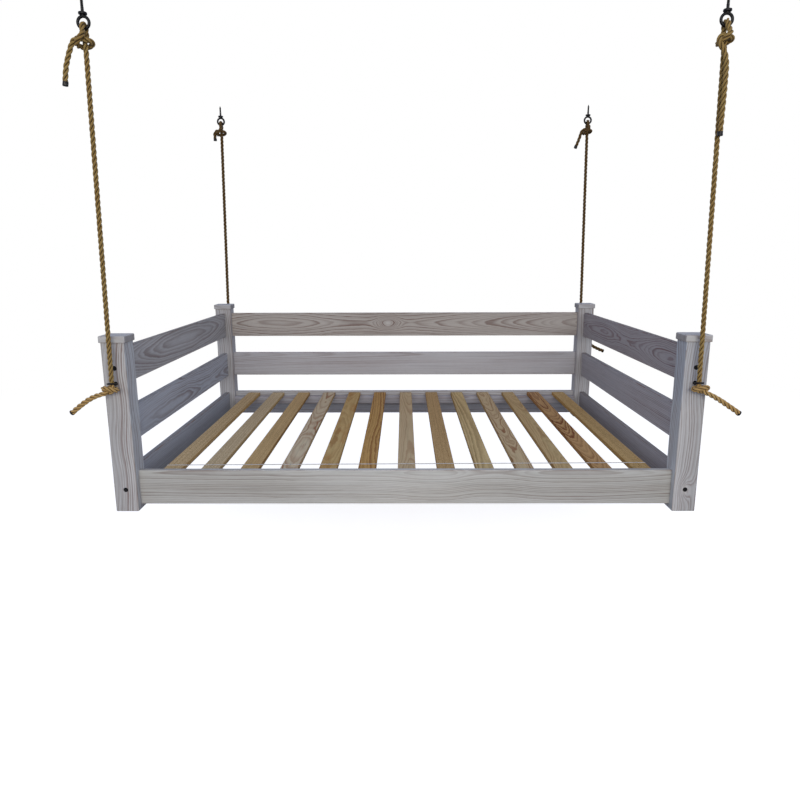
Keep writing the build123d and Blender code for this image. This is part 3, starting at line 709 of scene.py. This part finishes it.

# slats: each one is a different board
# painted shade darkening the slats' side faces
SLAT_SIDE_PAINTED_SHADE = (238, 226, 204)
SLAT_LENGTH_TINT = [(0.15, (1.01, 1.03, 1.06, 1.0)), (0.80, (0.99, 0.96, 0.92, 1.0))]      # paler in front, warmer towards the back
SLATS = [
    dict(early=(231, 203, 154), late=(172, 138, 92), contrast=1.1, pith=0.12, depth=0.03, ring=0.0046, fleck=1.0),
    dict(early=(232, 211, 170), late=(173, 141, 99), contrast=1.1, tone=[(0.0, 1.0), (1.0, 0.95)], pith=-0.10, depth=0.03, ring=0.0048, fleck=0.9),
    dict(early=(226, 193, 136), late=(167, 128, 79), contrast=1.1, tone=[(0.0, 1.0), (1.0, 0.95)], pith=0.11, depth=0.02, ring=0.0044, fleck=0.9),
    dict(early=(222, 204, 170), late=(160, 102, 64), contrast=1.15, tone=[(0.0, 1.0), (0.5, 0.98), (1.0, 0.92)], pith=0.010, depth=0.050, ring=0.0096, shift=[(0, 14), (0.22, -8), (0.45, 16), (0.7, -8), (1, -24)], swirl=0.022, warp=0.016),
    dict(early=(211, 179, 119), late=(156, 102, 44), contrast=0.8, pith=-0.016, depth=0.045, ring=0.0110, shift=[(0, 12), (0.4, -6), (0.7, 14), (1, 0)], swirl=0.020, patches=(0.7, (187, 129, 62)), fleck=0.3),
    dict(early=(211, 167, 98), late=(140, 82, 30), contrast=1.1, tone=[(0.0, 1.0), (1.0, 0.96)], pith=0.060, depth=0.030, ring=0.0130, shift=[(0, 4), (0.3, -8), (0.5, 5), (1, -6)], warp=0.014, coarse=2.6, fleck=0.5),
    dict(early=(212, 187, 144), late=(159, 105, 70), contrast=0.62, pith=0.020, depth=0.055, ring=0.0056, shift=[(0, -10), (0.4, 6), (1, -14)], swirl=0.008, fine=True),
    dict(early=(207, 172, 118), late=(162, 121, 72), contrast=0.85, pith=-0.12, depth=0.03, ring=0.0046, fleck=0.9),
    dict(early=(221, 194, 138), late=(138, 100, 51), contrast=1.0, pith=0.034, depth=0.05, ring=0.0120, shift=[(0, 0), (0.5, 12), (1, -9)], coarse=2.0, fleck=0.4),
    dict(early=(214, 189, 145), late=(143, 83, 45), contrast=1.0, pith=-0.006, depth=0.045, ring=0.0062, shift=[(0, 22), (0.35, 6), (0.6, -10), (1, -30)], swirl=0.030, fine=True),
    dict(early=(214, 184, 131), late=(156, 111, 64), contrast=0.85, pith=0.020, depth=0.050, ring=0.0060, shift=[(0, -12), (0.5, 14), (1, -12)], swirl=0.016, patches=(0.55, (212, 188, 134)), fleck=0.3),
    dict(early=(211, 168, 113), late=(130, 71, 31), contrast=1.4, fade=[(0.0, 0.80), (0.40, 0.84), (0.60, 1.0), (1.0, 1.0)], fleck=0.3, pith=-0.010, depth=0.036, ring=0.0084, shift=[(0, 96), (0.25, 54), (0.5, 12), (0.66, -12), (1, -26)], swirl=0.016, coarse=2.0),
    dict(early=(222, 188, 128), late=(165, 126, 68), contrast=1.1, tone=[(0.0, 0.96), (1.0, 1.07)], pith=0.12, depth=0.03, ring=0.0046, fleck=0.9),
]
for k, kw in enumerate(SLATS, 1):
    kw = {"warp": 0.010, "spec": 0.12, "rough": (0.66, 0.84), **kw}
    board(f"slat_{k:02d}", Y, (Z, 1), seed=40 + k, painted_side_light=SLAT_SIDE_PAINTED_SHADE, wear=0.25, raw=(176, 128, 76), wash=tuple(min(250.0, 1.05 * v) for v in kw["early"]), wash_amount=0.25, tint=SLAT_LENGTH_TINT, **kw)


# ---------------------------------------------------------------------------- hardware
def metal(name, base, light, rough, metallic, wear):
    sh = Shader(name)
    n = sh.noise(sh.object(), 120.0, 4.0, 0.6)
    fine = sh.noise(sh.object(), 900.0, 2.0, 0.6)
    big = sh.noise(sh.object(), 30.0, 3.0, 0.6)
    col = sh.ramp(big, [(0.3, srgb(*base)), (0.7, srgb(*[min(255, 1.35 * c + 4) for c in base]))])
    rub = sh.smooth(n, 0.56, 0.72, 0.0, wear)
    col = sh.mix(rub, col, srgb(*light))
    sh.put(sh.bsdf.inputs["Base Color"], col)
    sh.bsdf.inputs["Metallic"].default_value = metallic
    sh.put(sh.bsdf.inputs["Roughness"], sh.linear(n, 0.3, 0.7, rough[0], rough[1]))
    sh.bump(sh.math("ADD", sh.math("MULTIPLY", n, 0.6), sh.math("MULTIPLY", fine, 0.4)), 0.3, 0.0004)
    return sh.mat


BLACK = metal("black_steel", (17, 17, 18), (74, 70, 68), (0.34, 0.58), 0.35, 0.35)
ZINC = metal("zinc_steel", (150, 150, 152), (196, 194, 188), (0.28, 0.5), 0.9, 0.5)
for node in ("rail_bolts", "eye_washers") + tuple(f"{c}_{e}" for c in CORNERS for e in ("bed_eye", "ceiling_eye")):
    NODES[node].data.materials.clear()
    NODES[node].data.materials.append(BLACK)
for node in ("slat_staples", "barrel_nuts", "ledger_screws"):
    NODES[node].data.materials.clear()
    NODES[node].data.materials.append(ZINC)
board("dowels", X, (Y, -1), pith=0.0, depth=0.8, ring=0.003, early=(206, 172, 128), late=(178, 138, 94), contrast=0.5, seed=70)


# ---------------------------------------------------------------------------- floor, backdrop and light
def make_stage():
    z = FEET - 0.33
    ring, verts, faces = 96, [(0, 0, z)], []
    radii = (3, 8, 20, 60)
    for rad in radii:
        verts += [(rad * math.cos(2 * math.pi * k / ring), rad * math.sin(2 * math.pi * k / ring), z) for k in range(ring)]
    for k in range(ring):
        q = (k + 1) % ring
        faces.append((0, 1 + k, 1 + q))
        for j in range(len(radii) - 1):
            a, b = 1 + j * ring, 1 + (j + 1) * ring
            faces.append((a + k, b + k, b + q, a + q))
    floor = mesh_object("floor", verts, faces, smooth=False)
    sh = Shader("pale_floor")
    t = sh.tree
    out = next(n for n in t.nodes if n.type == "OUTPUT_MATERIAL")
    t.nodes.remove(sh.bsdf)
    diff = sh.node("ShaderNodeBsdfDiffuse")
    diff.inputs["Color"].default_value = (0.80, 0.80, 0.80, 1)
    glow = sh.node("ShaderNodeEmission")
    glow.inputs["Color"].default_value = (1, 1, 1, 1)
    glow.inputs["Strength"].default_value = 0.74
    near = sh.node("ShaderNodeAddShader")
    t.links.new(diff.outputs[0], near.inputs[0])
    t.links.new(glow.outputs[0], near.inputs[1])
    far = sh.node("ShaderNodeEmission")
    far.inputs["Color"].default_value = (1, 1, 1, 1)
    x, y, _ = sh.xyz(sh.object())
    d = sh.math("SQRT", sh.math("ADD", sh.math("MULTIPLY", x, x), sh.math("MULTIPLY", y, y)))
    shown = sh.node("ShaderNodeMixShader")
    t.links.new(sh.smooth(d, 1.4, 5.0), shown.inputs[0])
    t.links.new(near.outputs[0], shown.inputs[1])
    t.links.new(far.outputs[0], shown.inputs[2])
    dim = sh.node("ShaderNodeBsdfDiffuse")
    dim.inputs["Color"].default_value = (0.30, 0.30, 0.31, 1)
    path = sh.node("ShaderNodeLightPath")
    final = sh.node("ShaderNodeMixShader")
    t.links.new(path.outputs["Is Camera Ray"], final.inputs[0])
    t.links.new(dim.outputs[0], final.inputs[1])
    t.links.new(shown.outputs[0], final.inputs[2])
    t.links.new(final.outputs[0], out.inputs["Surface"])
    floor.data.materials.append(sh.mat)

    world = bpy.data.worlds.new("studio")
    scene.world = world
    world.use_nodes = True
    wt = world.node_tree
    wt.nodes.clear()
    out = wt.nodes.new("ShaderNodeOutputWorld")
    coord = wt.nodes.new("ShaderNodeTexCoord")
    sep = wt.nodes.new("ShaderNodeSeparateXYZ")
    wt.links.new(coord.outputs["Generated"], sep.inputs[0])
    up = wt.nodes.new("ShaderNodeMapRange")
    up.inputs["From Min"].default_value, up.inputs["From Max"].default_value = -1, 1
    wt.links.new(sep.outputs[2], up.inputs["Value"])
    ramp = wt.nodes.new("ShaderNodeValToRGB")
    for k, (p, c) in enumerate([(0.0, (0.24, 0.26, 0.31, 1)), (0.48, (0.52, 0.57, 0.70, 1)), (0.62, (0.52, 0.57, 0.70, 1)), (1.0, (0.18, 0.21, 0.32, 1))]):
        e = ramp.color_ramp.elements[k] if k < 2 else ramp.color_ramp.elements.new(p)
        e.position, e.color = p, c
    wt.links.new(up.outputs[0], ramp.inputs[0])
    ambient = wt.nodes.new("ShaderNodeBackground")
    wt.links.new(ramp.outputs[0], ambient.inputs["Color"])
    ambient.inputs["Strength"].default_value = 1.0
    white = wt.nodes.new("ShaderNodeBackground")
    white.inputs["Color"].default_value = (1, 1, 1, 1)
    path = wt.nodes.new("ShaderNodeLightPath")
    mixer = wt.nodes.new("ShaderNodeMixShader")
    wt.links.new(path.outputs["Is Camera Ray"], mixer.inputs[0])
    wt.links.new(ambient.outputs[0], mixer.inputs[1])
    wt.links.new(white.outputs[0], mixer.inputs[2])
    wt.links.new(mixer.outputs[0], out.inputs["Surface"])

    def sun(name, energy, angle, toward, colour=(1, 1, 1)):
        data = bpy.data.lights.new(name, "SUN")
        data.energy, data.angle, data.color = energy, math.radians(angle), colour
        ob = bpy.data.objects.new(name, data)
        ob.rotation_euler = Vector(toward).to_track_quat("-Z", "Y").to_euler()
        scene.collection.objects.link(ob)

    data = bpy.data.lights.new("key", "AREA")
    data.shape, data.size, data.size_y = "RECTANGLE", 8.0, 4.0
    data.energy, data.color = 425.0, (1.0, 0.95, 0.84)
    key = bpy.data.objects.new("key", data)
    key.location = (0.4, -10.0, 1.3)
    key.rotation_euler = (Vector((0, 0, -1.4)) - key.location).to_track_quat("-Z", "Y").to_euler()
    key.visible_camera = False
    scene.collection.objects.link(key)
    sun("fill_back", 0.35, 90, (0.2, -1.0, -0.35), (0.95, 0.97, 1.0))


make_stage()
